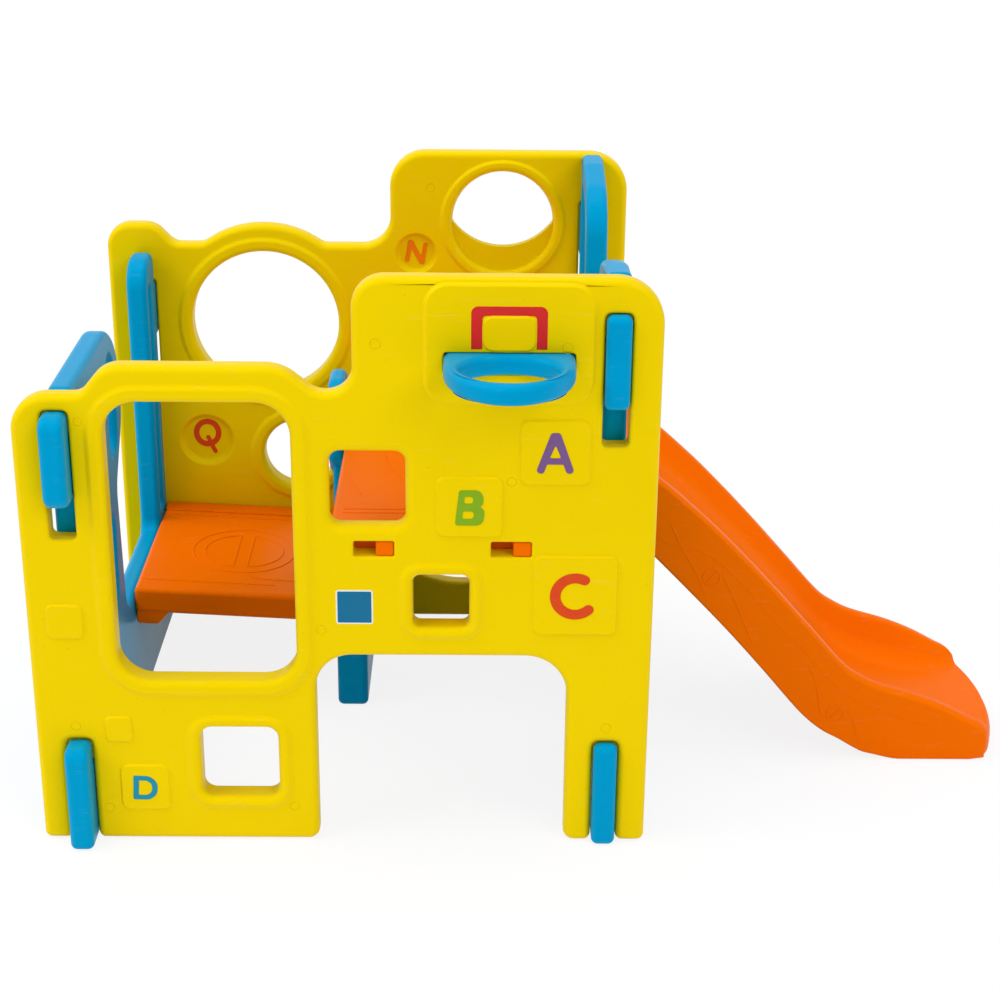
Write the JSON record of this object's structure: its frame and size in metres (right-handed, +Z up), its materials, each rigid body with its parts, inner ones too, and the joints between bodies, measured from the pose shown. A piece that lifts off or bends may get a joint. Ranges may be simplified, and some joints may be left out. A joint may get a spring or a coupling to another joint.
{
  "type": "climbing playset",
  "caption": "Toddler climbing frame with hooked yellow end walls, blue side panels, orange decks at different heights, a slide and a small basketball hoop.",
  "frame": {"origin": "bottom centre of the bounding box, on the floor", "axes": "+X from the climbing side towards the foot of the slide, +Y from the front wall with the hoop to the rear wall, +Z up"},
  "size_m": [1.8228, 1.205, 1.06],
  "materials": {
    "yellow_plastic": "satin blow-moulded polyethylene",
    "blue_plastic": "satin blow-moulded polyethylene",
    "orange_plastic": "satin blow-moulded polyethylene"
  },
  "bodies": {
    "root": {"front_wall": "yellow_plastic", "rear_wall": "yellow_plastic", "climbing_side_panel": "blue_plastic", "slide_side_panel": "blue_plastic", "divider_panel": "blue_plastic", "upper_deck": "orange_plastic", "lower_deck": "orange_plastic", "slide": "orange_plastic", "basketball_hoop": "blue_plastic"}
  },
  "joints": []
}
